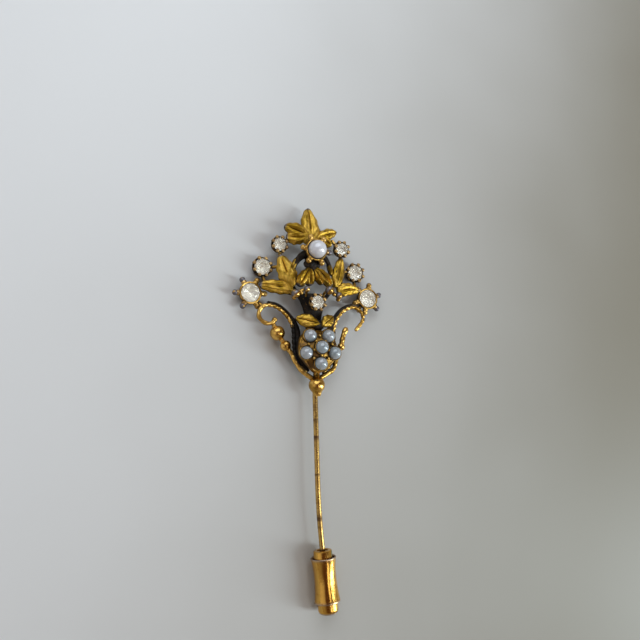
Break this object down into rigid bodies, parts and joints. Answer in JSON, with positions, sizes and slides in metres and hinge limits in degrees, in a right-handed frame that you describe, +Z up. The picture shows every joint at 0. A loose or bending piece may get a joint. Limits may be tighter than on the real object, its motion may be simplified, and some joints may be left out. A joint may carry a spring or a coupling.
{
  "type": "hat pin",
  "caption": "Short hat pin: openwork flower-basket head with stones and imitation pearls, on a wire stem with a pull-off friction clutch.",
  "frame": {"origin": "centre of the part's outline, on the surface that it lies on face up", "axes": "+Y along the pin from the clutch to the head's top leaf, +X to the right of the head seen from the front, +Z up out of the head's face"},
  "size_m": [0.0282, 0.0688, 0.0071],
  "materials": {
    "antique_gold": "worn antique gilt, dark in the recesses",
    "blackened_gold": "blackened, with gilt left on the edges",
    "wire_gold": "worn gilt wire",
    "clutch_gold": "polished gilt",
    "spring_bronze": "plain spring bronze",
    "rhinestone": "clear glass with a foiled back",
    "imitation_pearl": "pearlescent lacquer, lavender white",
    "seed_pearl": "pearlescent lacquer, silvery blue-grey"
  },
  "bodies": {
    "head_and_stem": {"stone_lower_left": "rhinestone", "stone_middle_left": "rhinestone", "stone_upper_left": "rhinestone", "stone_lower_right": "rhinestone", "stone_middle_right": "rhinestone", "stone_upper_right": "rhinestone", "stone_centre": "rhinestone", "pearl": "imitation_pearl", "seed_pearl_centre": "seed_pearl", "seed_pearl_top_left": "seed_pearl", "seed_pearl_top_right": "seed_pearl", "seed_pearl_left": "seed_pearl", "seed_pearl_right": "seed_pearl", "seed_pearl_bottom": "seed_pearl", "setting_lower_left": "antique_gold", "setting_middle_left": "antique_gold", "setting_upper_left": "antique_gold", "setting_lower_right": "antique_gold", "setting_middle_right": "antique_gold", "setting_upper_right": "antique_gold", "setting_centre": "antique_gold", "pearl_cup": "antique_gold", "base_ball": "antique_gold", "basket_cup": "antique_gold", "trunk": "blackened_gold", "top_leaf": "antique_gold", "spray_leaf_left": "antique_gold", "upper_leaf_left": "antique_gold", "side_leaf_left": "antique_gold", "centre_leaf_left": "antique_gold", "collar_leaf_left": "antique_gold", "branch_left": "blackened_gold", "solder_knot": "blackened_gold", "spray_leaf_right": "antique_gold", "upper_leaf_right": "antique_gold", "side_leaf_right": "antique_gold", "centre_leaf_right": "antique_gold", "collar_leaf_right": "antique_gold", "branch_right": "blackened_gold", "berry_inner_left": "antique_gold", "berry_outer_left": "antique_gold", "berry_twig_left": "antique_gold", "berry_inner_right": "antique_gold", "berry_outer_right": "antique_gold", "berry_twig_right": "antique_gold", "outer_wire_left": "antique_gold", "outer_wire_right": "antique_gold", "wire_bead_left_upper": "antique_gold", "wire_bead_left_lower": "antique_gold", "wire_bead_right": "antique_gold", "scroll_rope_left": "antique_gold", "scroll_strap_left": "blackened_gold", "scroll_rope_right": "antique_gold", "scroll_strap_right": "blackened_gold", "stem_wire": "wire_gold"},
    "clutch_grip": {"clutch_grip_spring": "spring_bronze"},
    "clutch_shell": {"clutch_barrel": "clutch_gold", "clutch_sleeve": "clutch_gold", "clutch_end_cap": "clutch_gold", "clutch_mouth_washer": "clutch_gold"}
  },
  "joints": [
    {"name": "clutch_pull", "type": "slide", "parent": "head_and_stem", "child": "clutch_grip", "axis": [0.0767, -0.9971, 0], "range_m": [0, 0.013]},
    {"name": "clutch_turn", "type": "hinge", "parent": "clutch_grip", "child": "clutch_shell", "pos_m": [0.00057, -0.02433, 0.00215], "axis": [0.0767, -0.9971, 0], "continuous": true}
  ]
}
